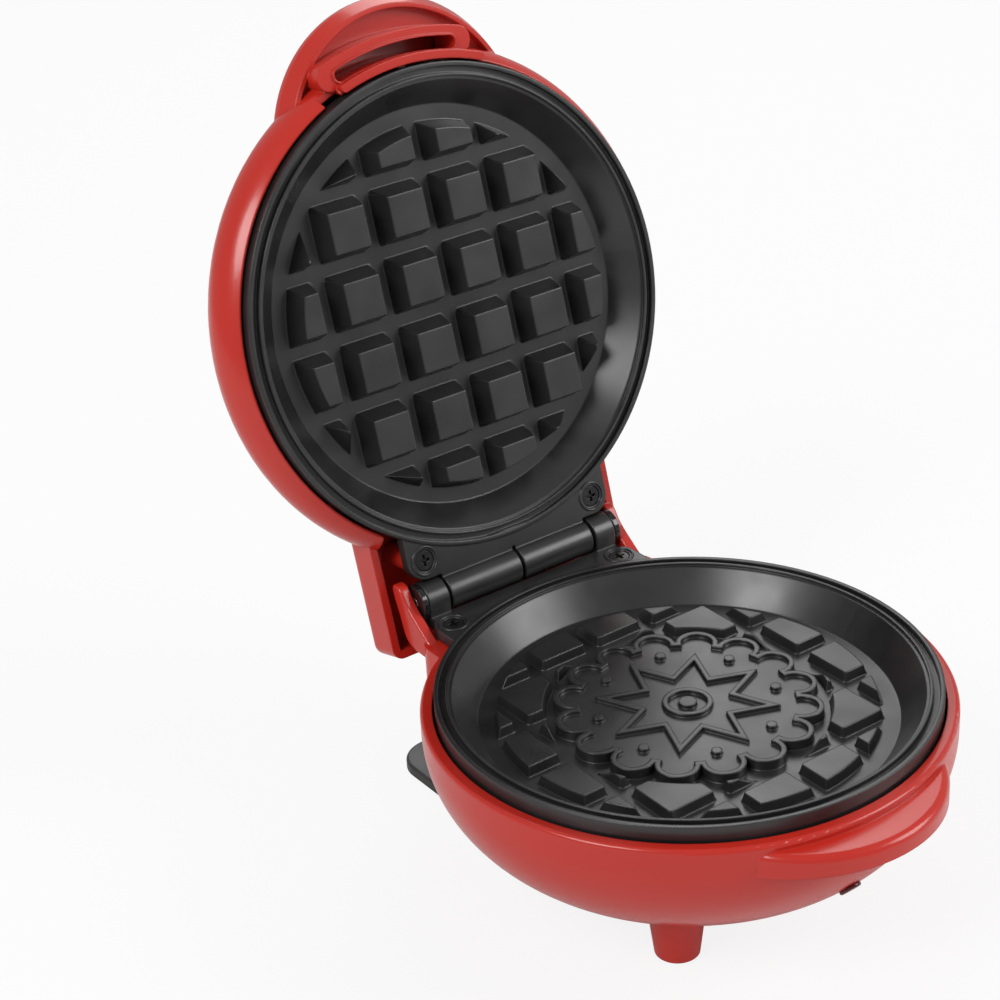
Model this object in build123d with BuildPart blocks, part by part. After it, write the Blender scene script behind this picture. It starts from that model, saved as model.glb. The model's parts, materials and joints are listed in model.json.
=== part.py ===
from build123d import *
import math
import os

# Small electric waffle maker with a hinged lid, shown with the lid open.
# Millimetres, +Z up. The origin lies on the axis of the round body, in the plane that it stands on.
# The hinge is at the back (+Y) and the two lift tabs are at the front (-Y).

# Heights and angles of the whole
base_depth = 44.5              # parting plane to the bowl's flat bottom
bowl_clearance = 7.5           # bowl's flat bottom above the table
parting_height = base_depth + bowl_clearance
plate_gap = 0.5                # daylight between the two rims when the lid is shut
open_angle = 105.0             # how far the lid swings back from shut
quarter_turn = 90.0
full_turn = 360.0
cut_margin = 1.0               # how far a cut starts outside what it opens

# Rim of the baking plates, which the casings and the hinge are built round
rim_radius = 60.0

# Round casings
rim_room = 0.6                 # gap between a plate's rim and the casing's lip
casing_inner = rim_radius + rim_room
base_side_wall = 2.9
casing_radius = casing_inner + base_side_wall
casing_wall = 2.2
lip_round = 1.0
base_lip_depth = 3.7           # casing lip below the lower rim
base_side_depth = 9.0          # where the bowl starts to curve
base_flat_radius = 16.0
lid_lip_depth = 2.6
lid_lip_wall = 0.9
lid_lip_bevel = 0.4
lid_side_depth = 10.0
lid_flare = 1.0                # how much the lid's widest ring stands out past the bowl
lid_wide_radius = casing_radius + lid_flare
lid_side_wall = 2.5
lid_depth = 28.0
lid_flat_radius = 26.0

# Baking plates
rim_ring = 1.1
rim_groove = 1.7
rim_groove_depth = 1.4
rim_ridge = 0.7
rim_land = 0.7
land_depth = 0.8
wall_reach = 10.0              # from the floor's edge to the rim
floor_radius = rim_radius - wall_reach
lower_floor_depth = 8.5
upper_floor_depth = 7.5
plate_thickness = 3.0
rim_skirt_depth = 5.0
rim_skirt_wall = 2.2
wall_back = 2.0                # how much the wall's back is wider than the floor

# Waffle pattern
stud_pitch = 17.3
stud_size = 14.0
upper_stud_height = 6.0
lower_stud_height = 2.5
upper_stud_taper = 18.0
lower_stud_taper = 16.0
stud_corner = 1.2
least_stud_share = 0.02        # smaller remains of a trimmed stud are left out
stud_field_gap = 4.0
stud_field_radius = floor_radius - stud_field_gap
studs_across = 6

# Star medallion of the lower plate
medallion_inset = 23.0
medallion_radius = floor_radius - medallion_inset
scallop_radius = 5.2
scallop_count = 16
medallion_height = 1.6
relief_line = 1.3              # width of the raised lines
relief_rise = 1.0              # raised lines above the medallion
star_points = 8
star_tip_radius = 22.0
star_notch_radius = 12.0
star_ring_radius = 6.0
star_dot_radius = 2.2
edge_dot_radius = 1.3
medallion_moat = 1.5

# Hinge
axis_reach = 8.6
hinge_setback = rim_radius + axis_reach   # axis behind the body's centre
hinge_rise = 2.5               # axis above the lower rim
hinge_pin_radius = 1.75
hinge_clearance = 0.05
barrel_radius = 4.7
barrel_length = 21.8
barrel_split = 1.0
barrel_room = 0.5              # trough under the barrels
knuckle_radius = 4.9
knuckle_length = 6.0
knuckle_gap = 1.0
bush_length = 1.5
bush_radius = 4.9
bush_gap = 0.25
base_boss_depth = 18.0
ear_radius = 4.8
ear_reach = 26.3               # screw distance from the centre line
ear_inset = 1.5
ear_setback = rim_radius - ear_inset
ear_thickness = 3.0
ear_recess = 0.3
flange_root = 18.0             # how far the flange reaches in under the rim
lower_flange_reach = 7.0       # lower flange behind the rim, under the barrels

# Ears of the base that cover the ends of the pin. Their outline is given
# as distances behind and above the hinge axis, from the toe up the front and down the back.
cheek_thickness = 2.9
cheek_round = 0.6
cheek_outline = (
    (-11.6, -7.0), (-8.1, -4.5), (-4.1, -1.5), (-0.4, 2.0), (2.3, 4.9), (4.5, 4.7), (4.4, 1.8),
    (2.1, -3.8), (-0.6, -9.4), (-6.6, -10.8), (-11.0, -9.6),
)

# Hinge housing of the base and the hood of the lid
block_half_width = 35.5
block_reach = 2.5
block_back = rim_radius + block_reach
block_front = rim_radius / 2
block_depth = 34.0
block_round = 6.0
hood_half_width = 37.2
hood_reach = 14.2
hood_back = hinge_setback + hood_reach
hood_root = 20.0
hood_front = rim_radius - hood_root
hood_rim_depth = 7.0
hood_depth = 18.0
hood_round = 3.0

# Lift tab of the base
base_tab_radius = 34.0
base_tab_inset = 25.4
base_tab_centre = casing_radius - base_tab_inset
base_tab_top = 5.8
base_tab_wall = 2.8
base_tab_depth = 7.8
base_tab_front_depth = 4.8
base_tab_round = 1.9

# Lift tab of the lid: a shallow tray with a slot, hollow behind its floor
lid_tab_rim_radius = 33.0
lid_tab_radius = 35.0
lid_tab_inset = 21.0
lid_tab_centre = casing_radius - lid_tab_inset
lid_tab_rim_depth = 8.0
lid_tab_side_depth = 12.0
lid_tab_floor_depth = 10.8
lid_tab_floor = 1.7
lid_tab_depth = 17.0
lid_tab_back_wall = 2.0
lid_tab_round = 4.0
lid_tab_rim_wall = 1.2
slot_box_reach = 5.5           # middle of the slot's box outside the plate's rim
slot_box_width = 7.0
slot_box_depth = 3.6
slot_box_half_angle = 16.8
slot_reach = 4.7
slot_width = 3.2
slot_half_angle = 14.5
slot_shift = -2.0              # the box lies a little to the left
slot_ridge = 0.5
strip_reach = 1.8
strip_width = 2.2
strip_depth = 1.2
strip_foot = 1.0
strip_half_angle = 18.6
strip_shift = 0.9
notch_angle = -21.5
notch_width = 5.4
notch_depth = 2.2

# Feet, stand and pads
foot_inset = 27.7
foot_circle = casing_radius - foot_inset
foot_angle = 45.0
foot_taper = 7.0
foot_bottom_radius = 5.4
foot_pad_radius = 3.9
foot_pad_proud = 0.6
foot_pad_thickness = 2.4
pad_clearance = 0.1
stand_half_width = 31.5
stand_front = -3.0
stand_reach = 15.4
stand_back = hinge_setback + stand_reach
stand_thickness = 2.6
stand_corner = 9.0
stand_edge_round = 0.8

# Screws
screw_radius = 1.45
screw_head_radius = 2.6
screw_head_height = 1.6
ear_screw_length = 8.0
stand_screw_length = 8.0
reflector_screw_length = 5.0
screw_head_sink = 0.2
stand_screw_sink = 0.1
screw_end_room = 0.6
screw_clearance = 0.15
cross_length = 3.0
cross_width = 0.7
cross_depth = 0.9
boss_radius = 3.4
screw_thread_clearance = 0.05

# Heaters and what goes with them
heater_inset = 16.0
heater_circle = floor_radius - heater_inset
heater_tube_radius = 3.2
heater_arc = 290.0
heater_seat_height = 1.6
heater_seat_wall = 2.0
heater_clearance = 0.05
terminal_length = 9.0
terminal_bush_length = 5.0
terminal_bush_radius = 2.6
terminal_pin_radius = 1.2
reflector_inset = 4.0
reflector_radius = floor_radius - reflector_inset
reflector_thickness = 0.7
reflector_gap = 1.2            # between heater tube and reflector
reflector_lip = 3.0
reflector_hole_radius = 13.0
post_inset = 14.0
reflector_post_circle = heater_circle - post_inset
reflector_post_radius = 2.8
reflector_post_count = 3
thermostat_radius = 8.0
thermostat_height = 6.5
thermostat_flange_radius = 10.0
thermostat_flange_thickness = 1.2
thermostat_tab_width = 4.0
thermostat_tab_length = 8.0
thermostat_tab_thickness = 0.8
fuse_radius = 2.0
fuse_length = 13.0
fuse_reach = 25.0
fuse_lead_radius = 0.6
fuse_lead_length = 5.0
fuse_clearance = 0.1
fuse_clip_width = 5.0
fuse_clip_thickness = 0.8
fuse_clip_foot = 5.0
seat_rib_count = 5
seat_rib_clear_angle = 50.0    # first rib, measured from the hinge
seat_rib_thickness = 2.0
base_rib_depth = 9.0
lid_rib_depth = 4.0
seat_rib_inset = 3.4
seat_rib_root = 2.3

# Indicator lamp, terminal block and cord bush
lamp_depth = 28.5              # below the parting plane
lens_radius = 2.2
lens_flange_radius = 2.7
lens_flange_thickness = 0.8
lens_length = 5.0
lens_clearance = 0.1
lamp_tube_radius = 1.5
lamp_tube_length = 10.0
lamp_gap = 0.2
lens_edge_round = 0.5
block_terminal_length = 20.0
block_terminal_width = 11.0
block_terminal_height = 9.0
terminal_chamfer = 0.6
terminal_screw_radius = 1.6
cord_exit_depth = 25.0
cord_bush_radius = 6.0
cord_bush_flange_radius = 8.0
cord_bush_flange = 2.0
cord_bush_tail = 6.0
cord_bore_radius = 3.4
bush_clearance = 0.1

# Frames of the two halves. In each one h runs away from the parting plane, into that half,
# and "back" is the sign of the local y that points at the hinge.
base_frame = Plane(origin=(0, 0, parting_height), x_dir=(1, 0, 0), z_dir=(0, 0, -1))
hinge_height = parting_height + hinge_rise
hinge_drop = hinge_rise - plate_gap
turn = math.radians(open_angle)


def swing(y, z):
    """Where a point of the shut lid comes to lie when the lid is open."""
    across = y - hinge_setback
    above = z - hinge_height
    return (
        hinge_setback + across * math.cos(turn) + above * math.sin(turn),
        hinge_height - across * math.sin(turn) + above * math.cos(turn),
    )


lid_centre = swing(0, parting_height + plate_gap)
lid_frame = Plane(
    origin=(0, lid_centre[0], lid_centre[1]),
    x_dir=(1, 0, 0),
    z_dir=(0, math.sin(turn), math.cos(turn)),
)
base_back = -1
lid_back = 1


def radial_plane(frame, angle):
    """Plane through a half's axis: sketch x is the radius at this angle, sketch y is the depth h."""
    lean = math.radians(angle)
    outward = frame.x_dir * math.cos(lean) + frame.y_dir * math.sin(lean)
    along = frame.y_dir * math.cos(lean) - frame.x_dir * math.sin(lean)
    return Plane(origin=frame.origin, x_dir=outward, z_dir=-along)


def half_axis(frame):
    return Axis(frame.origin, frame.z_dir)


def side_plane(frame, x):
    """Plane square to the hinge: sketch x is local y, sketch y is the depth h."""
    return Plane(origin=frame.from_local_coords((x, 0, 0)), x_dir=frame.y_dir, z_dir=frame.x_dir)


def facing_plane(frame, depth):
    """Plane at a depth whose normal points back at the parting plane."""
    return Plane(
        origin=frame.from_local_coords((0, 0, depth)), x_dir=frame.x_dir, z_dir=-frame.z_dir)


def finish(piece, node):
    """Label a finished piece and write its file."""
    piece.part.label = node
    export_step(piece.part, f"parts/{node}.step")


def polar(radius, angle):
    return (radius * math.cos(math.radians(angle)), radius * math.sin(math.radians(angle)))


def both_sides(x, y):
    return [(-x, y), (x, y)]


os.makedirs("parts", exist_ok=True)


# Casings

def base_bowl(radius, full_depth, edge_round, mode):
    """Bowl of the base: rim, upright side, elliptical curve and flat bottom."""
    with BuildSketch(radial_plane(base_frame, 0)) as section:
        with BuildLine() as outline:
            EllipticalCenterArc(
                (base_flat_radius, base_side_depth), radius - base_flat_radius,
                full_depth - base_side_depth, start_angle=0, arc_size=quarter_turn)
            Line((radius, base_side_depth), (radius, base_lip_depth + edge_round))
            if edge_round:
                JernArc((radius, base_lip_depth + edge_round), (0, -1), edge_round, -quarter_turn)
            Polyline(
                (radius - edge_round, base_lip_depth), (0, base_lip_depth), (0, full_depth),
                (base_flat_radius, full_depth))
        make_face(outline.edges())
    revolve(section.sketch, axis=half_axis(base_frame), mode=mode)


def lid_dome(lip_radius, wide_radius, full_depth, bevel, mode):
    """Dome of the lid: lip, flare out to the widest ring, elliptical curve and flat back."""
    with BuildSketch(radial_plane(lid_frame, 0)) as section:
        with BuildLine() as outline:
            EllipticalCenterArc(
                (lid_flat_radius, lid_side_depth), wide_radius - lid_flat_radius,
                full_depth - lid_side_depth, start_angle=0, arc_size=quarter_turn)
            TangentArc(
                (wide_radius, lid_side_depth), (lip_radius, lid_lip_depth + bevel), tangent=(0, -1))
            if bevel:
                Line((lip_radius, lid_lip_depth + bevel), (lip_radius - bevel, lid_lip_depth))
            Polyline(
                (lip_radius - bevel, lid_lip_depth), (0, lid_lip_depth), (0, full_depth),
                (lid_flat_radius, full_depth))
        make_face(outline.edges())
    revolve(section.sketch, axis=half_axis(lid_frame), mode=mode)


def seat_ribs(frame, back, rib_depth):
    """Ribs on the casing's wall that carry the plate's skirt, spread clear of the hinge."""
    rib_length = seat_rib_inset + seat_rib_root
    rib_middle = rim_radius - seat_rib_inset + rib_length / 2
    with BuildSketch(frame.offset(rim_skirt_depth)) as outline:
        with PolarLocations(
                rib_middle, seat_rib_count, start_angle=back * quarter_turn + seat_rib_clear_angle,
                angular_range=full_turn - 2 * seat_rib_clear_angle, endpoint=True):
            Rectangle(rib_length, seat_rib_thickness)
    extrude(outline.sketch, amount=rib_depth)


def ear_bosses(frame, back, depth):
    """Two posts under the plate's ears, each with a pilot hole for its screw."""
    ear_seat = ear_recess + ear_thickness
    with BuildSketch(frame.offset(ear_seat)) as outline:
        with Locations(*both_sides(ear_reach, back * ear_setback)):
            Circle(boss_radius)
    extrude(outline.sketch, amount=depth - ear_seat)
    with BuildSketch(frame.offset(ear_seat)) as outline:
        with Locations(*both_sides(ear_reach, back * ear_setback)):
            Circle(screw_radius + screw_thread_clearance)
    extrude(outline.sketch, amount=ear_screw_reach - ear_seat + screw_end_room, mode=Mode.SUBTRACT)


# Where the hinge's pieces lie along the pin
barrel_end = barrel_split / 2 + barrel_length
knuckle_start = barrel_end + knuckle_gap
knuckle_end = knuckle_start + knuckle_length
bush_start = knuckle_end + bush_gap
bush_end = bush_start + bush_length
cheek_start = bush_end + bush_gap
ear_screw_reach = ear_recess + screw_head_sink + screw_head_height + ear_screw_length
stand_screw_top = stand_screw_sink + screw_head_height + stand_screw_length

# Bowl wall where the lamp sits: a point of the ellipse and the slope there
lamp_turn = math.asin((lamp_depth - base_side_depth) / (base_depth - base_side_depth))
lamp_radius = base_flat_radius + (casing_radius - base_flat_radius) * math.cos(lamp_turn)
lamp_plane = Plane(
    origin=(0, -lamp_radius, parting_height - lamp_depth),
    x_dir=(1, 0, 0),
    z_dir=(
        0,
        -math.cos(lamp_turn) / (casing_radius - base_flat_radius),
        -math.sin(lamp_turn) / (base_depth - base_side_depth)),
)
cord_exit = Plane(
    origin=(0, block_back, parting_height - cord_exit_depth), x_dir=(-1, 0, 0), z_dir=(0, 1, 0))

rear_feet = [polar(foot_circle, foot_angle), polar(foot_circle, 2 * quarter_turn - foot_angle)]
front_feet = [(x, -y) for x, y in rear_feet]


def bowl_height(radius):
    """Height of the bowl's outer wall above the table at a distance from the axis."""
    share = (radius - base_flat_radius) / (casing_radius - base_flat_radius)
    depth = base_side_depth + (base_depth - base_side_depth) * math.sqrt(1 - share ** 2)
    return parting_height - depth


foot_height = bowl_height(foot_circle + foot_bottom_radius) + casing_wall / 2


def feet(points, bottom):
    """Tapered feet, from their soles up into the bowl's wall."""
    with BuildSketch(Plane.XY.offset(bottom)) as outline:
        with Locations(*points):
            Circle(foot_bottom_radius)
    extrude(outline.sketch, amount=foot_height - bottom, taper=-foot_taper)


def pin_cheek(side):
    """Rounded ear beside the hinge that covers one end of the pin."""
    section = side_plane(base_frame, side * (cheek_start + cheek_thickness / 2))
    points = [(-hinge_setback - behind, -hinge_rise - above) for behind, above in cheek_outline]
    with BuildPart() as cheek:
        with BuildSketch(section):
            with BuildLine():
                Spline(*points, periodic=True)
            make_face()
        extrude(amount=cheek_thickness / 2, both=True)
        fillet(cheek.faces().filter_by(Axis.X).edges(), cheek_round)
    return cheek.part


cheeks = [pin_cheek(side) for side in (-1, 1)]

with BuildPart() as base_casing:
    # Lift tab: a half-moon shelf with an apron that gets shallower towards the front
    with BuildSketch(base_frame.offset(base_tab_top)):
        with Locations((0, base_tab_centre)):
            Circle(base_tab_radius)
    extrude(amount=base_tab_depth)
    fillet(base_casing.faces().sort_by(Axis.Z)[-1].edges(), base_tab_round)
    with BuildSketch(base_frame.offset(base_tab_top + casing_wall)):
        with Locations((0, base_tab_centre)):
            Circle(base_tab_radius - base_tab_wall)
    extrude(amount=base_tab_depth, mode=Mode.SUBTRACT)
    with BuildSketch(side_plane(base_frame, 0)):
        with BuildLine():
            Polyline(
                (base_tab_centre, base_tab_top + base_tab_depth),
                (base_tab_centre + base_tab_radius, base_tab_top + base_tab_front_depth),
                (base_tab_centre + 2 * base_tab_radius, base_tab_top + base_tab_front_depth),
                (base_tab_centre + 2 * base_tab_radius, base_depth), (base_tab_centre, base_depth),
                close=True)
        make_face()
    extrude(amount=base_tab_radius, both=True, mode=Mode.SUBTRACT)
    # Hinge housing behind the bowl
    with BuildSketch(base_frame.offset(base_lip_depth)):
        with Locations((0, -(block_front + block_back) / 2)):
            Rectangle(2 * block_half_width, block_back - block_front)
    block = extrude(amount=block_depth - base_lip_depth)
    fillet(
        block.edges().group_by(Axis.Z)[0] + block.edges().filter_by(Axis.Z).group_by(Axis.Y)[-1],
        block_round)
    base_bowl(casing_radius, base_depth, lip_round, Mode.ADD)
    feet(front_feet, foot_pad_proud)
    feet(rear_feet, stand_thickness)
    base_bowl(casing_inner, base_depth - casing_wall, 0, Mode.SUBTRACT)
    with BuildSketch(base_frame.offset(base_lip_depth + casing_wall)):
        with Locations((0, -(block_front + block_back - casing_wall) / 2)):
            Rectangle(2 * (block_half_width - casing_wall), block_back - casing_wall - block_front)
    extrude(amount=block_depth - base_lip_depth - 2 * casing_wall, mode=Mode.SUBTRACT)
    ear_bosses(base_frame, base_back, base_boss_depth)
    seat_ribs(base_frame, base_back, base_rib_depth)
    add(cheeks)
    # Openings for the lamp, the cord bush, the pads and the stand's screws
    with BuildSketch(lamp_plane):
        Circle(lens_radius + lens_clearance)
    extrude(amount=2 * casing_wall, both=True, mode=Mode.SUBTRACT)
    with BuildSketch(cord_exit):
        Circle(cord_bush_radius + bush_clearance)
    extrude(amount=2 * casing_wall, both=True, mode=Mode.SUBTRACT)
    with BuildSketch(Plane.XY):
        with Locations(*front_feet):
            Circle(foot_pad_radius + pad_clearance)
    extrude(amount=foot_pad_thickness, mode=Mode.SUBTRACT)
    with BuildSketch(Plane.XY):
        with Locations(*rear_feet):
            Circle(screw_radius + screw_thread_clearance)
    extrude(amount=stand_screw_top + screw_end_room, mode=Mode.SUBTRACT)
finish(base_casing, "base_casing")

def front_arc(reach, shift, half_angle):
    """Arc round a casing's axis at the front, at a distance outside the plate's rim."""
    return CenterArc(
        (0, 0), rim_radius + reach, shift - half_angle - quarter_turn, 2 * half_angle)


box_line = front_arc(slot_box_reach, slot_shift, slot_box_half_angle)
slot_line = front_arc(slot_reach, slot_shift, slot_half_angle)
strip_line = front_arc(strip_reach, strip_shift, strip_half_angle)
tab_frame = Plane(
    origin=lid_frame.from_local_coords((0, -lid_tab_centre, 0)),
    x_dir=lid_frame.x_dir, z_dir=lid_frame.z_dir)

with BuildPart() as lid_casing:
    # Lift tab: a tray whose side flares out from a thin rim to a rounded back
    with BuildSketch(radial_plane(tab_frame, 0)) as tab_section:
        with BuildLine() as tab_outline:
            tab_side = Polyline(
                (0, lid_tab_depth), (0, lid_tab_rim_depth), (lid_tab_rim_radius, lid_tab_rim_depth),
                (lid_tab_radius, lid_tab_side_depth), (lid_tab_radius, lid_tab_depth - lid_tab_round))
            JernArc(tab_side @ 1, (0, 1), lid_tab_round, quarter_turn)
            Line((lid_tab_radius - lid_tab_round, lid_tab_depth), (0, lid_tab_depth))
        make_face()
    revolve(axis=half_axis(tab_frame))
    with BuildSketch(tab_frame.offset(lid_tab_rim_depth)):
        Circle(lid_tab_rim_radius - lid_tab_rim_wall)
    extrude(amount=lid_tab_floor_depth - lid_tab_rim_depth, mode=Mode.SUBTRACT)
    # Hood over the hinge
    with BuildSketch(lid_frame.offset(hood_rim_depth)):
        with Locations((0, (hood_front + hood_back) / 2)):
            Rectangle(2 * hood_half_width, hood_back - hood_front)
    hood = extrude(amount=hood_depth - hood_rim_depth)
    towards_hinge = Axis(lid_frame.origin, lid_frame.y_dir)
    hood_corners = hood.edges().filter_by(half_axis(lid_frame)).sort_by(towards_hinge)
    hood_top = hood.faces().sort_by(half_axis(lid_frame))[-1].edges()
    fillet(hood_corners[-2:] + hood_top, hood_round)
    lid_dome(casing_inner + lid_lip_wall, lid_wide_radius, lid_depth, lid_lip_bevel, Mode.ADD)
    lid_dome(
        casing_inner, lid_wide_radius - lid_side_wall, lid_depth - casing_wall, 0, Mode.SUBTRACT)
    # The hood's room reaches through the dome's wall, so that the plate's flange passes
    with BuildSketch(lid_frame.offset(-cut_margin)):
        with Locations((0, (hood_front + hood_back - casing_wall) / 2)):
            Rectangle(2 * (hood_half_width - casing_wall), hood_back - casing_wall - hood_front)
    extrude(amount=cut_margin + hood_depth - casing_wall, mode=Mode.SUBTRACT)
    # Notch in the lip, and the slot's box with the strip of wall in front of it
    with BuildSketch(lid_frame):
        with PolarLocations(rim_radius + strip_reach, 1, start_angle=notch_angle - quarter_turn):
            Rectangle(2 * strip_width, notch_width)
    extrude(amount=lid_lip_depth + notch_depth, mode=Mode.SUBTRACT)
    with BuildSketch(lid_frame.offset(slot_box_depth)):
        SlotArc(box_line, slot_box_width)
    extrude(amount=lid_tab_floor_depth + lid_tab_floor - slot_box_depth)
    with BuildSketch(lid_frame.offset(slot_box_depth - slot_ridge)):
        SlotArc(slot_line, slot_width + 2 * slot_ridge)
    extrude(amount=slot_ridge)
    with BuildSketch(lid_frame.offset(strip_depth)):
        SlotArc(strip_line, strip_width)
    extrude(amount=lid_lip_depth + strip_foot - strip_depth)
    with BuildSketch(tab_frame.offset(lid_tab_floor_depth + lid_tab_floor)):
        Circle(lid_tab_radius - lid_tab_back_wall)
    extrude(
        amount=lid_tab_depth - lid_tab_back_wall - lid_tab_floor_depth - lid_tab_floor,
        mode=Mode.SUBTRACT)
    with BuildSketch(lid_frame.offset(slot_box_depth - cut_margin)):
        SlotArc(slot_line, slot_width)
    extrude(amount=lid_tab_depth - lid_tab_back_wall - slot_box_depth + cut_margin, mode=Mode.SUBTRACT)
    ear_bosses(lid_frame, lid_back, hood_depth - casing_wall / 2)
    seat_ribs(lid_frame, lid_back, lid_rib_depth)
finish(lid_casing, "lid_casing")


# Baking plates

def plate_dish(frame, floor_depth):
    """Cast dish: stepped rim, sloped wall, floor, and the skirt that drops into the casing."""
    ring_inner = rim_radius - rim_ring
    groove_inner = ring_inner - rim_groove
    ridge_inner = groove_inner - rim_ridge
    land_inner = ridge_inner - rim_land
    skirt_inner = rim_radius - rim_skirt_wall
    with BuildSketch(radial_plane(frame, 0)) as outline:
        with BuildLine():
            Polyline(
                (0, floor_depth), (floor_radius, floor_depth), (land_inner, land_depth),
                (ridge_inner, land_depth), (ridge_inner, 0), (groove_inner, 0),
                (groove_inner, rim_groove_depth), (ring_inner, rim_groove_depth), (ring_inner, 0),
                (rim_radius, 0), (rim_radius, rim_skirt_depth), (skirt_inner, rim_skirt_depth),
                (skirt_inner, rim_groove_depth + rim_skirt_wall),
                (floor_radius + wall_back, floor_depth + plate_thickness),
                (0, floor_depth + plate_thickness), close=True)
        make_face()
    revolve(outline.sketch, axis=half_axis(frame))


def stud_field(frame, floor_depth, height, lean, clear_radius):
    """Tapered square studs in a grid, trimmed to a circle and round a clear middle."""
    with BuildSketch(facing_plane(frame, floor_depth)) as outline:
        with GridLocations(stud_pitch, stud_pitch, studs_across, studs_across):
            RectangleRounded(stud_size, stud_size, stud_corner)
        Circle(stud_field_radius, mode=Mode.INTERSECT)
        if clear_radius:
            Circle(clear_radius, mode=Mode.SUBTRACT)
    for face in outline.sketch.faces():
        if face.area > least_stud_share * stud_size ** 2:
            extrude(face, amount=height, taper=lean)


def ear_flange(frame, back, reach):
    """Flat shelf behind the rim with two screw ears."""
    flange_start = rim_radius - flange_root
    with BuildSketch(frame.offset(ear_recess)) as outline:
        with Locations((0, back * (flange_start + reach) / 2)):
            Rectangle(2 * ear_reach, reach - flange_start)
        with Locations(*both_sides(ear_reach, back * ear_setback)):
            Circle(ear_radius)
        with Locations(*both_sides(ear_reach, back * (ear_setback - ear_radius))):
            Rectangle(2 * ear_radius, 2 * ear_radius)
        Circle(rim_radius - rim_skirt_wall / 2, mode=Mode.SUBTRACT)
    extrude(outline.sketch, amount=ear_thickness)


def ear_screw_holes(frame, back):
    with BuildSketch(frame.offset(ear_recess)) as outline:
        with Locations(*both_sides(ear_reach, back * ear_setback)):
            Circle(screw_head_radius + screw_clearance)
    extrude(outline.sketch, amount=screw_head_sink + screw_head_height, mode=Mode.SUBTRACT)
    with BuildSketch(frame.offset(ear_recess)) as outline:
        with Locations(*both_sides(ear_reach, back * ear_setback)):
            Circle(screw_radius + screw_clearance)
    extrude(outline.sketch, amount=ear_thickness, mode=Mode.SUBTRACT)


def heater_seat(frame, floor_depth):
    """Raised ring on the plate's back with the trough that the heater lies in."""
    back_depth = floor_depth + plate_thickness
    ring_half = heater_tube_radius + heater_seat_wall
    with BuildSketch(frame.offset(back_depth)) as outline:
        Circle(heater_circle + ring_half)
        Circle(heater_circle - ring_half, mode=Mode.SUBTRACT)
    extrude(outline.sketch, amount=heater_seat_height)
    with BuildSketch(radial_plane(frame, 0)) as outline:
        with Locations((heater_circle, back_depth + heater_tube_radius)):
            Circle(heater_tube_radius + heater_clearance)
    revolve(outline.sketch, axis=half_axis(frame), mode=Mode.SUBTRACT)


def reflector_posts(frame, floor_depth):
    """Posts on the plate's back that the heat reflector is screwed to."""
    back_depth = floor_depth + plate_thickness
    with BuildSketch(frame.offset(back_depth)) as outline:
        with PolarLocations(reflector_post_circle, reflector_post_count, start_angle=90):
            Circle(reflector_post_radius)
    extrude(outline.sketch, amount=reflector_seat)
    with BuildSketch(frame.offset(back_depth)) as outline:
        with PolarLocations(reflector_post_circle, reflector_post_count, start_angle=90):
            Circle(screw_radius + screw_thread_clearance)
    extrude(outline.sketch, amount=reflector_seat, mode=Mode.SUBTRACT)


reflector_seat = 2 * heater_tube_radius + reflector_gap


def star(size):
    """Corners of the medallion's star, shrunk by a share."""
    step = full_turn / star_points / 2
    return [
        polar(size * (star_notch_radius if corner % 2 else star_tip_radius), corner * step)
        for corner in range(2 * star_points)]


# How far the star's sides lie from its middle, and the share that its raised line leaves
star_step = math.radians(full_turn / star_points / 2)
star_side = math.dist((star_tip_radius, 0), polar(star_notch_radius, math.degrees(star_step)))
star_side_distance = star_tip_radius * star_notch_radius * math.sin(star_step) / star_side
star_inside = 1 - relief_line / star_side_distance

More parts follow.
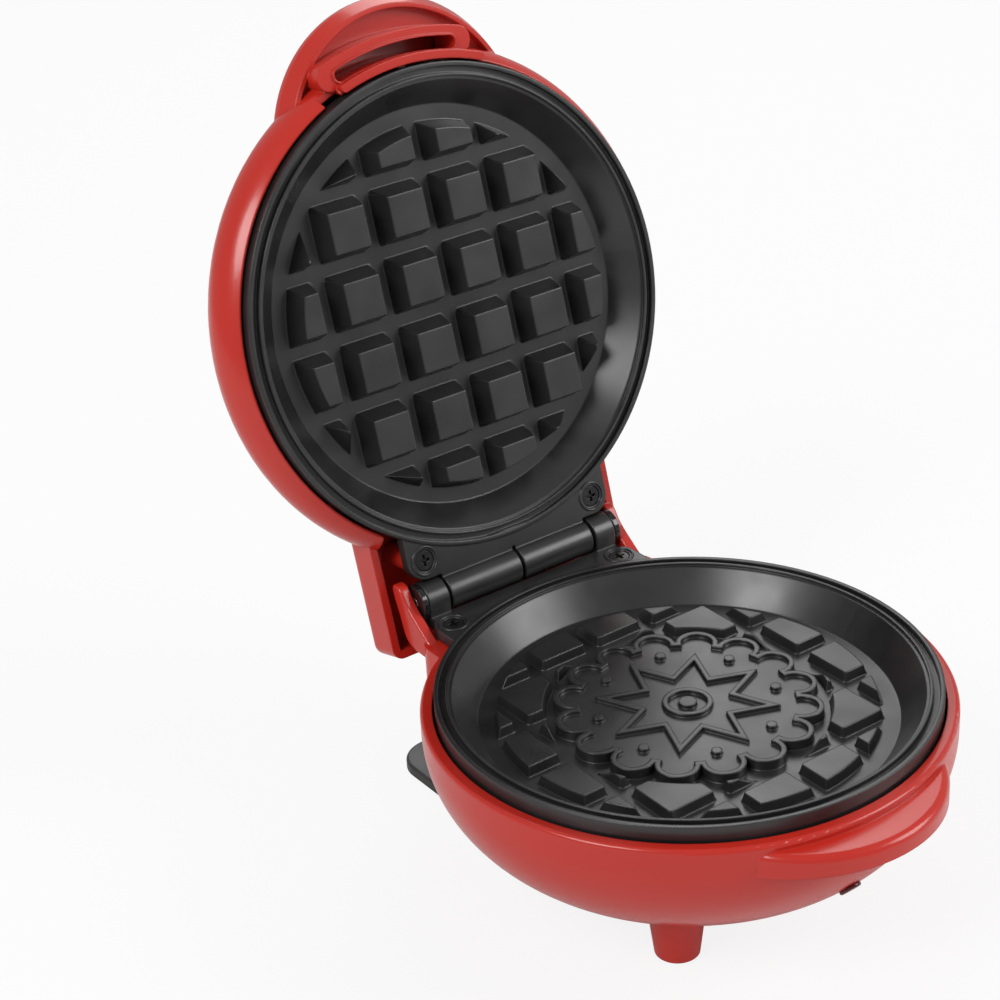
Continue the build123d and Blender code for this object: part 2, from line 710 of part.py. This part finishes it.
with BuildPart() as lower_plate:
    plate_dish(base_frame, lower_floor_depth)
    stud_field(
        base_frame, lower_floor_depth, lower_stud_height, lower_stud_taper,
        medallion_radius + scallop_radius + medallion_moat)
    with BuildSketch(facing_plane(base_frame, lower_floor_depth)):
        Circle(medallion_radius)
        with PolarLocations(medallion_radius, scallop_count):
            Circle(scallop_radius)
    extrude(amount=medallion_height)
    # Raised lines: the scalloped edge, the star, the ring with its dot, and a dot in every bay
    with BuildSketch(facing_plane(base_frame, lower_floor_depth - medallion_height)):
        Circle(medallion_radius)
        with PolarLocations(medallion_radius, scallop_count):
            Circle(scallop_radius)
        Circle(medallion_radius - relief_line, mode=Mode.SUBTRACT)
        with PolarLocations(medallion_radius, scallop_count):
            Circle(scallop_radius - relief_line, mode=Mode.SUBTRACT)
    extrude(amount=relief_rise)
    with BuildSketch(facing_plane(base_frame, lower_floor_depth - medallion_height)):
        Polygon(*star(1), align=None)
        Polygon(*star(star_inside), align=None, mode=Mode.SUBTRACT)
        Circle(star_ring_radius)
        Circle(star_ring_radius - relief_line, mode=Mode.SUBTRACT)
        Circle(star_dot_radius)
        with PolarLocations(star_tip_radius, star_points, start_angle=full_turn / star_points / 2):
            Circle(edge_dot_radius)
    extrude(amount=relief_rise)
    ear_flange(base_frame, base_back, rim_radius + lower_flange_reach)
    # Trough in the flange that the upper plate's barrels turn in
    with BuildSketch(side_plane(base_frame, 0)):
        with Locations((-hinge_setback, -hinge_rise)):
            Circle(barrel_radius + barrel_room)
    extrude(amount=barrel_end + knuckle_gap / 2, both=True, mode=Mode.SUBTRACT)
    for side in (-1, 1):
        middle = side * (knuckle_start + knuckle_length / 2)
        with BuildSketch(side_plane(base_frame, middle)):
            with Locations((-hinge_setback, -hinge_rise)):
                Circle(knuckle_radius)
            with BuildLine():
                Polyline(
                    (-ear_setback - ear_radius / 2, ear_recess), (-hinge_setback + knuckle_radius, ear_recess),
                    (-hinge_setback + knuckle_radius, -hinge_rise), (-hinge_setback, -hinge_rise),
                    (-hinge_setback, knuckle_radius - hinge_rise),
                    (-hinge_setback + knuckle_radius / 2, ear_recess + ear_thickness),
                    (-ear_setback - ear_radius / 2, ear_recess + ear_thickness), close=True)
            make_face()
        extrude(amount=knuckle_length / 2, both=True)
    with BuildSketch(side_plane(base_frame, 0)):
        with Locations((-hinge_setback, -hinge_rise)):
            Circle(hinge_pin_radius + hinge_clearance)
    extrude(amount=knuckle_end, both=True, mode=Mode.SUBTRACT)
    ear_screw_holes(base_frame, base_back)
    heater_seat(base_frame, lower_floor_depth)
    reflector_posts(base_frame, lower_floor_depth)
finish(lower_plate, "lower_plate")

with BuildPart() as upper_plate:
    plate_dish(lid_frame, upper_floor_depth)
    stud_field(lid_frame, upper_floor_depth, upper_stud_height, upper_stud_taper, 0)
    ear_flange(lid_frame, lid_back, ear_setback + ear_radius)
    # Web from the flange to the two barrels
    with BuildSketch(lid_frame.offset(ear_recess)):
        with Locations((0, (ear_setback + hinge_setback) / 2)):
            Rectangle(2 * barrel_end, hinge_setback - ear_setback)
    extrude(amount=ear_thickness)
    with BuildSketch(side_plane(lid_frame, 0)):
        with Locations((hinge_setback, hinge_drop)):
            Circle(barrel_radius)
    extrude(amount=barrel_end, both=True)
    with BuildSketch(side_plane(lid_frame, 0)):
        with Locations((hinge_setback, hinge_drop)):
            Rectangle(2 * barrel_radius + barrel_split, 2 * barrel_radius + barrel_split)
    extrude(amount=barrel_split / 2, both=True, mode=Mode.SUBTRACT)
    with BuildSketch(side_plane(lid_frame, 0)):
        with Locations((hinge_setback, hinge_drop)):
            Circle(hinge_pin_radius + hinge_clearance)
    extrude(amount=barrel_end, both=True, mode=Mode.SUBTRACT)
    ear_screw_holes(lid_frame, lid_back)
    heater_seat(lid_frame, upper_floor_depth)
    reflector_posts(lid_frame, upper_floor_depth)
finish(upper_plate, "upper_plate")


# Hinge pin and the bushes on its ends, between the knuckles and the base's ears

with BuildPart() as hinge_pin:
    with BuildSketch(side_plane(base_frame, 0)):
        with Locations((-hinge_setback, -hinge_rise)):
            Circle(hinge_pin_radius)
    extrude(amount=bush_end, both=True)
finish(hinge_pin, "hinge_pin")

with BuildPart() as hinge_bushes:
    for side in (-1, 1):
        with BuildSketch(side_plane(base_frame, side * (bush_start + bush_length / 2))):
            with Locations((-hinge_setback, -hinge_rise)):
                Circle(bush_radius)
                Circle(hinge_pin_radius + hinge_clearance, mode=Mode.SUBTRACT)
        extrude(amount=bush_length / 2, both=True)
finish(hinge_bushes, "hinge_bushes")


# Screws

def screws(node, frame, points, top_depth, length):
    """Pan-head screws with a cross slot, driven from the side that the frame's normal leaves."""
    with BuildPart() as group:
        with BuildSketch(frame.offset(top_depth)):
            with Locations(*points):
                Circle(screw_head_radius)
        extrude(amount=screw_head_height)
        with BuildSketch(frame.offset(top_depth + screw_head_height)):
            with Locations(*points):
                Circle(screw_radius)
        extrude(amount=length)
        with BuildSketch(frame.offset(top_depth)):
            with Locations(*points):
                Rectangle(cross_length, cross_width)
                Rectangle(cross_width, cross_length)
        extrude(amount=cross_depth, mode=Mode.SUBTRACT)
    finish(group, node)


def post_points(count, radius):
    return [polar(radius, 90 + 360 / count * step) for step in range(count)]


screws("lower_hinge_screws", base_frame, both_sides(ear_reach, base_back * ear_setback),
       ear_recess + screw_head_sink, ear_screw_length)
screws("upper_hinge_screws", lid_frame, both_sides(ear_reach, lid_back * ear_setback),
       ear_recess + screw_head_sink, ear_screw_length)
screws("stand_screws", Plane.XY, rear_feet, stand_screw_sink, stand_screw_length)


# Heaters, terminals and reflectors

def heating_parts(half, frame, back, floor_depth):
    """Heater tube with its end terminals, the reflector over it and the reflector's screws."""
    back_depth = floor_depth + plate_thickness
    tube_depth = back_depth + heater_tube_radius
    start = back * 90 + (360 - heater_arc) / 2
    with BuildPart() as heater:
        with BuildSketch(radial_plane(frame, start)):
            with Locations((heater_circle, tube_depth)):
                Circle(heater_tube_radius)
        revolve(axis=half_axis(frame), revolution_arc=heater_arc)
    finish(heater, f"{half}_heater")
    with BuildPart() as terminals:
        for angle, way in ((start, 1), (start + heater_arc, -1)):
            end_plane = radial_plane(frame, angle)
            face = Plane(
                origin=end_plane.from_local_coords((heater_circle, tube_depth, 0)),
                x_dir=end_plane.x_dir, z_dir=end_plane.z_dir * way)
            with BuildSketch(face):
                Circle(terminal_bush_radius)
            extrude(amount=terminal_bush_length)
            with BuildSketch(face):
                Circle(terminal_pin_radius)
            extrude(amount=terminal_length)
    finish(terminals, f"{half}_heater_terminals")
    with BuildPart() as reflector:
        with BuildSketch(frame.offset(back_depth + reflector_seat)):
            Circle(reflector_radius)
            Circle(reflector_hole_radius, mode=Mode.SUBTRACT)
            with PolarLocations(reflector_post_circle, reflector_post_count, start_angle=90):
                Circle(screw_radius + screw_clearance, mode=Mode.SUBTRACT)
        extrude(amount=reflector_thickness)
        with BuildSketch(facing_plane(frame, back_depth + reflector_seat + reflector_thickness)):
            Circle(reflector_radius)
            Circle(reflector_radius - reflector_thickness, mode=Mode.SUBTRACT)
        extrude(amount=reflector_lip)
    finish(reflector, f"{half}_reflector")
    outer_face = facing_plane(
        frame, back_depth + reflector_seat + reflector_thickness + screw_head_height)
    mirrored = [(x, -y) for x, y in post_points(reflector_post_count, reflector_post_circle)]
    screws(f"{half}_reflector_screws", outer_face, mirrored, 0, reflector_screw_length)


heating_parts("lower", base_frame, base_back, lower_floor_depth)
heating_parts("upper", lid_frame, lid_back, upper_floor_depth)


# Thermostat and thermal fuse on the back of the lower plate

lower_back = lower_floor_depth + plate_thickness
with BuildPart() as thermostat:
    with BuildSketch(base_frame.offset(lower_back)):
        Circle(thermostat_flange_radius)
    extrude(amount=thermostat_flange_thickness)
    with BuildSketch(base_frame.offset(lower_back)):
        Circle(thermostat_radius)
    extrude(amount=thermostat_flange_thickness + thermostat_height)
    with BuildSketch(base_frame.offset(lower_back)):
        with Locations(*both_sides(thermostat_radius / 2, 0)):
            Rectangle(thermostat_tab_thickness, thermostat_tab_width)
    extrude(amount=thermostat_flange_thickness + thermostat_height + thermostat_tab_length)
finish(thermostat, "thermostat")

fuse_frame = Plane(
    origin=base_frame.from_local_coords((fuse_reach, 0, lower_back)),
    x_dir=base_frame.y_dir, z_dir=base_frame.z_dir)
fuse_section = Plane(origin=fuse_frame.origin, x_dir=fuse_frame.y_dir, z_dir=fuse_frame.x_dir)
with BuildPart() as thermal_fuse:
    with BuildSketch(fuse_section):
        with Locations((0, fuse_radius)):
            Circle(fuse_radius)
    extrude(amount=fuse_length / 2, both=True)
    with BuildSketch(fuse_section):
        with Locations((0, fuse_radius)):
            Circle(fuse_lead_radius)
    extrude(amount=fuse_length / 2 + fuse_lead_length, both=True)
finish(thermal_fuse, "thermal_fuse")

with BuildPart() as fuse_clip:
    clip_inner = fuse_radius + fuse_clearance
    clip_outer = clip_inner + fuse_clip_thickness
    with BuildSketch(fuse_section):
        with Locations((0, fuse_radius)):
            Circle(clip_outer)
        with Locations((0, fuse_radius / 2)):
            Rectangle(2 * clip_outer, fuse_radius)
        with Locations((clip_outer + fuse_clip_foot / 2 - fuse_clip_thickness, fuse_clip_thickness / 2)):
            Rectangle(fuse_clip_foot, fuse_clip_thickness)
        with Locations((0, fuse_radius)):
            Circle(clip_inner, mode=Mode.SUBTRACT)
        with Locations((0, fuse_radius / 2)):
            Rectangle(2 * clip_inner, fuse_radius, mode=Mode.SUBTRACT)
    extrude(amount=fuse_clip_width / 2, both=True)
    # Keep only what stands on the plate's back
    split(bisect_by=fuse_frame, keep=Keep.TOP)
finish(fuse_clip, "fuse_clip")


# Indicator lamp in the front of the bowl

with BuildPart() as lamp_lens:
    with BuildSketch(lamp_plane):
        Circle(lens_flange_radius)
    extrude(amount=lens_flange_thickness)
    with BuildSketch(lamp_plane):
        Circle(lens_radius)
    extrude(amount=-lens_length)
    with BuildSketch(lamp_plane.offset(-lens_length)):
        Circle(lamp_tube_radius + lens_clearance)
    extrude(amount=lens_length - lens_flange_thickness, mode=Mode.SUBTRACT)
    fillet(lamp_lens.faces().sort_by(Axis(lamp_plane.origin, lamp_plane.z_dir))[-1].edges(), lens_edge_round)
finish(lamp_lens, "lamp_lens")

with BuildPart() as lamp_tube:
    with BuildSketch(lamp_plane.offset(-lens_flange_thickness - lamp_gap)):
        Circle(lamp_tube_radius)
    extrude(amount=-lamp_tube_length)
    fillet(lamp_tube.edges().filter_by(GeomType.CIRCLE), lamp_tube_radius / 3)
finish(lamp_tube, "lamp_tube")


# Terminal block on the bowl's flat bottom, and the cord bush in the housing's back wall

with BuildPart() as terminal_block:
    with BuildSketch(facing_plane(base_frame, base_depth - casing_wall)):
        Rectangle(block_terminal_length, block_terminal_width)
    extrude(amount=block_terminal_height)
    chamfer(terminal_block.edges().group_by(Axis.Z)[-1], terminal_chamfer)
    with BuildSketch(facing_plane(base_frame, base_depth - casing_wall - block_terminal_height)):
        with GridLocations(block_terminal_length / 3, block_terminal_width / 2, 3, 2):
            Circle(terminal_screw_radius)
    extrude(amount=-block_terminal_height / 2, mode=Mode.SUBTRACT)
finish(terminal_block, "terminal_block")

with BuildPart() as cord_bush:
    with BuildSketch(cord_exit):
        Circle(cord_bush_flange_radius)
    extrude(amount=cord_bush_flange)
    fillet(cord_bush.faces().sort_by(Axis.Y)[-1].edges(), cord_bush_flange / 3)
    with BuildSketch(cord_exit):
        Circle(cord_bush_radius)
    extrude(amount=-cord_bush_tail)
    with BuildSketch(cord_exit.offset(-cord_bush_tail)):
        Circle(cord_bore_radius)
    extrude(amount=cord_bush_tail + cord_bush_flange, mode=Mode.SUBTRACT)
finish(cord_bush, "cord_bush")


# What the maker stands on

with BuildPart() as foot_pads:
    with BuildSketch(Plane.XY):
        with Locations(*front_feet):
            Circle(foot_pad_radius)
    extrude(amount=foot_pad_thickness)
finish(foot_pads, "foot_pads")

with BuildPart() as rear_stand:
    with BuildSketch(Plane.XY):
        with Locations((0, (stand_front + stand_back) / 2)):
            RectangleRounded(2 * stand_half_width, stand_back - stand_front, stand_corner)
    extrude(amount=stand_thickness)
    fillet(rear_stand.faces().sort_by(Axis.Z)[-1].edges(), stand_edge_round)
    with BuildSketch(Plane.XY):
        with Locations(*rear_feet):
            Circle(screw_head_radius + screw_clearance)
    extrude(amount=stand_screw_sink + screw_head_height, mode=Mode.SUBTRACT)
    with BuildSketch(Plane.XY):
        with Locations(*rear_feet):
            Circle(screw_radius + screw_clearance)
    extrude(amount=stand_thickness, mode=Mode.SUBTRACT)
finish(rear_stand, "rear_stand")
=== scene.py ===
"""Looks of a small round waffle maker with its lid open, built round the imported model."""

import json
import math

import bmesh
import bpy
from mathutils import Matrix, Vector


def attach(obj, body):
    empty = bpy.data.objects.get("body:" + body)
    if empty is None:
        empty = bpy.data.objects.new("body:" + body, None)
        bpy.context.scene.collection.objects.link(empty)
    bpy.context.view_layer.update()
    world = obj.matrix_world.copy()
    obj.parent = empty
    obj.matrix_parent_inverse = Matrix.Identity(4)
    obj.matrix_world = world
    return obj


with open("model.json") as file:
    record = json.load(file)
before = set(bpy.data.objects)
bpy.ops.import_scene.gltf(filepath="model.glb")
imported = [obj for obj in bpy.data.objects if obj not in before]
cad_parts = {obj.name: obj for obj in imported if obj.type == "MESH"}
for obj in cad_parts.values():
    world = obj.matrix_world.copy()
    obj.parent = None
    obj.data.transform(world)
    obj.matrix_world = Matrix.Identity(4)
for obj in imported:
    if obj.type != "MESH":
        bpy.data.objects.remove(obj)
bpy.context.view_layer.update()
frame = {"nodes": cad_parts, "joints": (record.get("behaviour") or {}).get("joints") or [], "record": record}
nodes = frame["nodes"]

# Camera that took the photograph, fitted to the rims, floors and studs of the two plates
CAMERA_PLACE = Vector((-0.3074, -0.3707, 0.3509))
CAMERA_AZIMUTH = math.radians(-34.70)
CAMERA_ELEVATION = math.radians(27.38)
CAMERA_ROLL = math.radians(-3.24)
CAMERA_LENS = 86.0
CAMERA_SENSOR = 36.0
NEAREST_SEEN = 0.01

# Hinge of the lid, which swings from open to shut
HINGE = frame["joints"][0]
HINGE_PLACE = Vector(HINGE["pos_m"])
OPEN_ANGLE = math.radians(HINGE["range_deg"][1])

# Rings cast round the screw heads of the two plates, with the upper pair given as the lid is shut
RING_RADIUS = 0.0036
RING_THICKNESS = 0.00035
RING_STEPS = 40
RING_SIDES = 10
SCREW_REACH = 0.0263
SCREW_SETBACK = 0.0585
LOWER_RING_HEIGHT = 0.0517
UPPER_RING_HEIGHT_SHUT = 0.0528

# Shared grain
FINE_SHARE = 0.6
MASK_SPAN = {"From Min": 0.3, "From Max": 0.7}
EDGE_SAMPLES = 6

# Floor and surroundings
FLOOR_HALF_SIZE = 3.0
FLOOR_GREY = 0.80
FLOOR_ROUGHNESS = 0.9
FLOOR_SEEN_WHITE = 0.86
WORLD_STRENGTH = 0.43


# Camera

def aim_camera():
    back = Vector((
        math.sin(CAMERA_AZIMUTH) * math.cos(CAMERA_ELEVATION),
        -math.cos(CAMERA_AZIMUTH) * math.cos(CAMERA_ELEVATION),
        math.sin(CAMERA_ELEVATION)))
    level = Vector((math.cos(CAMERA_AZIMUTH), math.sin(CAMERA_AZIMUTH), 0))
    above = back.cross(level)
    right = level * math.cos(CAMERA_ROLL) + above * math.sin(CAMERA_ROLL)
    up = above * math.cos(CAMERA_ROLL) - level * math.sin(CAMERA_ROLL)
    data = bpy.data.cameras.new("camera")
    data.sensor_width = CAMERA_SENSOR
    data.lens = CAMERA_LENS
    data.clip_start = NEAREST_SEEN
    camera = bpy.data.objects.new("camera", data)
    turn = Matrix((right, up, back)).transposed()
    camera.matrix_world = Matrix.Translation(CAMERA_PLACE) @ turn.to_4x4()
    bpy.context.scene.collection.objects.link(camera)
    bpy.context.scene.camera = camera


aim_camera()


# Node helpers

def add_node(tree, kind, **values):
    """New node with its settings and the defaults of its named inputs."""
    node = tree.nodes.new(kind)
    for name, value in values.items():
        if name in node.inputs:
            node.inputs[name].default_value = value
        else:
            setattr(node, name, value)
    return node


def new_material(name):
    material = bpy.data.materials.new(name)
    material.use_nodes = True
    tree = material.node_tree
    return material, tree, tree.nodes["Principled BSDF"]


def set_inputs(node, values):
    for name, value in values.items():
        node.inputs[name].default_value = value


# Shared effects

def speckle_group():
    """Fine two-scale grain: gives a height and a mask for colour and roughness."""
    group = bpy.data.node_groups.new("fine_grain", "ShaderNodeTree")
    for name, usual in (("Scale", 400.0), ("Coarse Scale", 60.0)):
        socket = group.interface.new_socket(name, in_out="INPUT", socket_type="NodeSocketFloat")
        socket.default_value = usual
    for name in ("Height", "Mask"):
        group.interface.new_socket(name, in_out="OUTPUT", socket_type="NodeSocketFloat")
    inner = group.nodes.new("NodeGroupInput")
    outer = group.nodes.new("NodeGroupOutput")
    place = group.nodes.new("ShaderNodeTexCoord")
    fine = add_node(group, "ShaderNodeTexNoise", Detail=3.0, Roughness=0.6)
    coarse = add_node(group, "ShaderNodeTexNoise", Detail=2.0, Roughness=0.5)
    mix = add_node(group, "ShaderNodeMath", operation="MULTIPLY_ADD")
    mix.inputs[1].default_value = FINE_SHARE
    link = group.links.new
    link(place.outputs["Object"], fine.inputs["Vector"])
    link(place.outputs["Object"], coarse.inputs["Vector"])
    link(inner.outputs["Scale"], fine.inputs["Scale"])
    link(inner.outputs["Coarse Scale"], coarse.inputs["Scale"])
    link(fine.outputs["Fac"], mix.inputs[0])
    link(coarse.outputs["Fac"], mix.inputs[2])
    link(mix.outputs["Value"], outer.inputs["Height"])
    link(coarse.outputs["Fac"], outer.inputs["Mask"])
    return group


GRAIN = speckle_group()


def grained(name, dark, light, rough, scales, bump, depth, edge, fixed):
    """Material whose colour, roughness and relief follow the shared grain.

    The colour runs from dark to light and the roughness over its own range. The two scales are
    the fine and the coarse grain's, depth and edge are in metres, and fixed holds plain inputs.
    """
    material, tree, shader = new_material(name)
    set_inputs(shader, fixed)
    link = tree.links.new
    grain = add_node(tree, "ShaderNodeGroup", node_tree=GRAIN)
    set_inputs(grain, dict(zip(("Scale", "Coarse Scale"), scales)))
    colour = add_node(tree, "ShaderNodeMix", data_type="RGBA")
    colour.inputs["A"].default_value = (*dark, 1.0)
    colour.inputs["B"].default_value = (*light, 1.0)
    spread = add_node(tree, "ShaderNodeMapRange", **MASK_SPAN)
    link(grain.outputs["Mask"], spread.inputs["Value"])
    link(spread.outputs["Result"], colour.inputs["Factor"])
    link(colour.outputs["Result"], shader.inputs["Base Color"])
    roughness = add_node(
        tree, "ShaderNodeMapRange", **MASK_SPAN, **dict(zip(("To Min", "To Max"), rough)))
    link(grain.outputs["Mask"], roughness.inputs["Value"])
    link(roughness.outputs["Result"], shader.inputs["Roughness"])
    relief = add_node(tree, "ShaderNodeBump", Strength=bump, Distance=depth)
    link(grain.outputs["Height"], relief.inputs["Height"])
    rounded = add_node(tree, "ShaderNodeBevel", samples=EDGE_SAMPLES, Radius=edge)
    link(rounded.outputs["Normal"], relief.inputs["Normal"])
    link(relief.outputs["Normal"], shader.inputs["Normal"])
    return material


FINISHES = {
    "red_shell": dict(
        dark=(0.50, 0.020, 0.011), light=(0.53, 0.024, 0.014), rough=(0.20, 0.26),
        scales=(900.0, 14.0), bump=0.02, depth=0.00005, edge=0.0005,
        fixed={"IOR": 1.47, "Coat Weight": 0.12, "Coat Roughness": 0.08}),
    "coated_plate": dict(
        dark=(0.014, 0.0135, 0.014), light=(0.019, 0.0185, 0.019), rough=(0.27, 0.36),
        scales=(1500.0, 90.0), bump=0.1, depth=0.00005, edge=0.0006, fixed={"IOR": 1.6}),
    "black_plastic": dict(
        dark=(0.020, 0.020, 0.021), light=(0.028, 0.028, 0.029), rough=(0.38, 0.46),
        scales=(2500.0, 120.0), bump=0.15, depth=0.00005, edge=0.0004, fixed={"IOR": 1.5}),
    "gloss_black": dict(
        dark=(0.008, 0.008, 0.008), light=(0.011, 0.011, 0.011), rough=(0.08, 0.13),
        scales=(900.0, 30.0), bump=0.02, depth=0.00004, edge=0.0004, fixed={"IOR": 1.55}),
    "black_rubber": dict(
        dark=(0.022, 0.022, 0.022), light=(0.030, 0.030, 0.030), rough=(0.6, 0.75),
        scales=(1800.0, 90.0), bump=0.2, depth=0.00006, edge=0.0004, fixed={"IOR": 1.5}),
    "black_steel": dict(
        dark=(0.030, 0.030, 0.031), light=(0.050, 0.049, 0.047), rough=(0.22, 0.34),
        scales=(1500.0, 200.0), bump=0.08, depth=0.00004, edge=0.0003, fixed={"Metallic": 0.8}),
    "steel": dict(
        dark=(0.50, 0.50, 0.50), light=(0.60, 0.59, 0.58), rough=(0.28, 0.4),
        scales=(1200.0, 150.0), bump=0.06, depth=0.00004, edge=0.0003, fixed={"Metallic": 1.0}),
    "heater_sheath": dict(
        dark=(0.10, 0.09, 0.08), light=(0.20, 0.17, 0.13), rough=(0.4, 0.6),
        scales=(900.0, 60.0), bump=0.1, depth=0.00006, edge=0.0003, fixed={"Metallic": 1.0}),
    "ceramic": dict(
        dark=(0.72, 0.70, 0.64), light=(0.78, 0.76, 0.71), rough=(0.25, 0.4),
        scales=(700.0, 60.0), bump=0.05, depth=0.00005, edge=0.0004, fixed={"IOR": 1.5}),
    "aluminium_sheet": dict(
        dark=(0.66, 0.67, 0.68), light=(0.76, 0.77, 0.78), rough=(0.25, 0.38),
        scales=(900.0, 40.0), bump=0.05, depth=0.00005, edge=0.0002, fixed={"Metallic": 1.0}),
    "red_lens": dict(
        dark=(0.10, 0.004, 0.004), light=(0.13, 0.005, 0.005), rough=(0.06, 0.1),
        scales=(600.0, 30.0), bump=0.02, depth=0.00004, edge=0.0004,
        fixed={"Transmission Weight": 0.4, "IOR": 1.49}),
    "clear_glass": dict(
        dark=(0.90, 0.88, 0.85), light=(0.93, 0.91, 0.88), rough=(0.03, 0.06),
        scales=(600.0, 30.0), bump=0.01, depth=0.00003, edge=0.0002,
        fixed={"Transmission Weight": 0.9, "IOR": 1.5}),
}
MATERIALS = {name: grained(name, **finish) for name, finish in FINISHES.items()}

# The bushes share a slot with the stand, and are glossier than it
SLOT_OF = {row["node"]: row["material_slot"] for row in frame["record"]["subparts"]}
FINISH_OF = {"hinge_bushes": "gloss_black"}


def dress_cad_nodes():
    """Give every CAD node its finish."""
    for name, obj in nodes.items():
        finish = FINISH_OF.get(name, SLOT_OF[name])
        obj.data.materials.clear()
        obj.data.materials.append(MATERIALS[finish])


dress_cad_nodes()


# Rings round the screws

def when_open(place):
    """Where a point of the shut lid lies with the lid open."""
    return HINGE_PLACE + Matrix.Rotation(-OPEN_ANGLE, 3, "X") @ (place - HINGE_PLACE)


def ring_outline(middle, lean):
    """Points of one ring, as a closed row of small circles."""
    rows = []
    for step in range(RING_STEPS):
        around = 2 * math.pi * step / RING_STEPS
        row = []
        for corner in range(RING_SIDES):
            across = 2 * math.pi * corner / RING_SIDES
            radius = RING_RADIUS + RING_THICKNESS * math.cos(across)
            row.append(middle + lean @ Vector((
                radius * math.cos(around), radius * math.sin(around),
                RING_THICKNESS * math.sin(across))))
        rows.append(row)
    return rows


def screw_rings(name, body, place, tilt):
    """Two cast rings round the screws of one plate, half sunk into its ears."""
    mesh = bpy.data.meshes.new(name)
    shape = bmesh.new()
    lean = Matrix.Rotation(tilt, 4, "X")
    for side in (-1, 1):
        middle = Vector((side * SCREW_REACH, place.y, place.z))
        rows = [[shape.verts.new(spot) for spot in row] for row in ring_outline(middle, lean)]
        for here, there in zip(rows, rows[1:] + rows[:1]):
            for corner in range(RING_SIDES):
                after = (corner + 1) % RING_SIDES
                face = shape.faces.new((here[corner], there[corner], there[after], here[after]))
                face.smooth = True
    shape.to_mesh(mesh)
    shape.free()
    ring = bpy.data.objects.new(name, mesh)
    mesh.materials.append(MATERIALS["coated_plate"])
    bpy.context.scene.collection.objects.link(ring)
    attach(ring, body)


screw_rings("lower_screw_rings", "base", Vector((0, SCREW_SETBACK, LOWER_RING_HEIGHT)), 0.0)
screw_rings(
    "upper_screw_rings", "lid",
    when_open(Vector((0, SCREW_SETBACK, UPPER_RING_HEIGHT_SHUT))), math.pi - OPEN_ANGLE)


# Floor, surroundings and light

def stage_material():
    """Pale matt floor that the camera sees nearly white, with its shadows kept faint."""
    material, tree, shader = new_material("pale_floor")
    set_inputs(shader, {
        "Base Color": (FLOOR_GREY, FLOOR_GREY, FLOOR_GREY, 1.0), "Roughness": FLOOR_ROUGHNESS})
    path = tree.nodes.new("ShaderNodeLightPath")
    share = add_node(tree, "ShaderNodeMath", operation="MULTIPLY")
    share.inputs[1].default_value = FLOOR_SEEN_WHITE
    glow = add_node(tree, "ShaderNodeEmission", Strength=1.0)
    mix = tree.nodes.new("ShaderNodeMixShader")
    out = tree.nodes["Material Output"]
    link = tree.links.new
    link(path.outputs["Is Camera Ray"], share.inputs[0])
    link(share.outputs["Value"], mix.inputs["Fac"])
    link(shader.outputs["BSDF"], mix.inputs[1])
    link(glow.outputs["Emission"], mix.inputs[2])
    link(mix.outputs["Shader"], out.inputs["Surface"])
    return material


def make_floor():
    half = FLOOR_HALF_SIZE
    corners = [(-half, -half, 0), (half, -half, 0), (half, half, 0), (-half, half, 0)]
    mesh = bpy.data.meshes.new("floor")
    mesh.from_pydata(corners, [], [(0, 1, 2, 3)])
    floor = bpy.data.objects.new("floor", mesh)
    mesh.materials.append(stage_material())
    bpy.context.scene.collection.objects.link(floor)


def make_world():
    world = bpy.data.worlds.new("pale_room")
    bpy.context.scene.world = world
    world.use_nodes = True
    set_inputs(world.node_tree.nodes["Background"], {
        "Color": (1.0, 1.0, 1.0, 1.0), "Strength": WORLD_STRENGTH})


def soft_light(name, place, target, size, watts):
    """Round area light that faces its target."""
    data = bpy.data.lights.new(name, "AREA")
    data.shape = "DISK"
    data.size = size
    data.energy = watts
    light = bpy.data.objects.new(name, data)
    light.location = place
    light.rotation_euler = (Vector(target) - Vector(place)).to_track_quat("-Z", "Y").to_euler()
    bpy.context.scene.collection.objects.link(light)


make_floor()
make_world()
soft_light("key_left", place=(-0.95, -0.15, 0.95), target=(0, 0.02, 0.08), size=0.6, watts=8.0)
soft_light("front_right", place=(0.95, -0.75, 0.8), target=(0, 0.02, 0.06), size=0.8, watts=10.0)
soft_light("back_right", place=(0.55, 0.85, 0.85), target=(0, 0, 0.05), size=0.7, watts=3.2)

bpy.context.scene.view_settings.view_transform = "Standard"
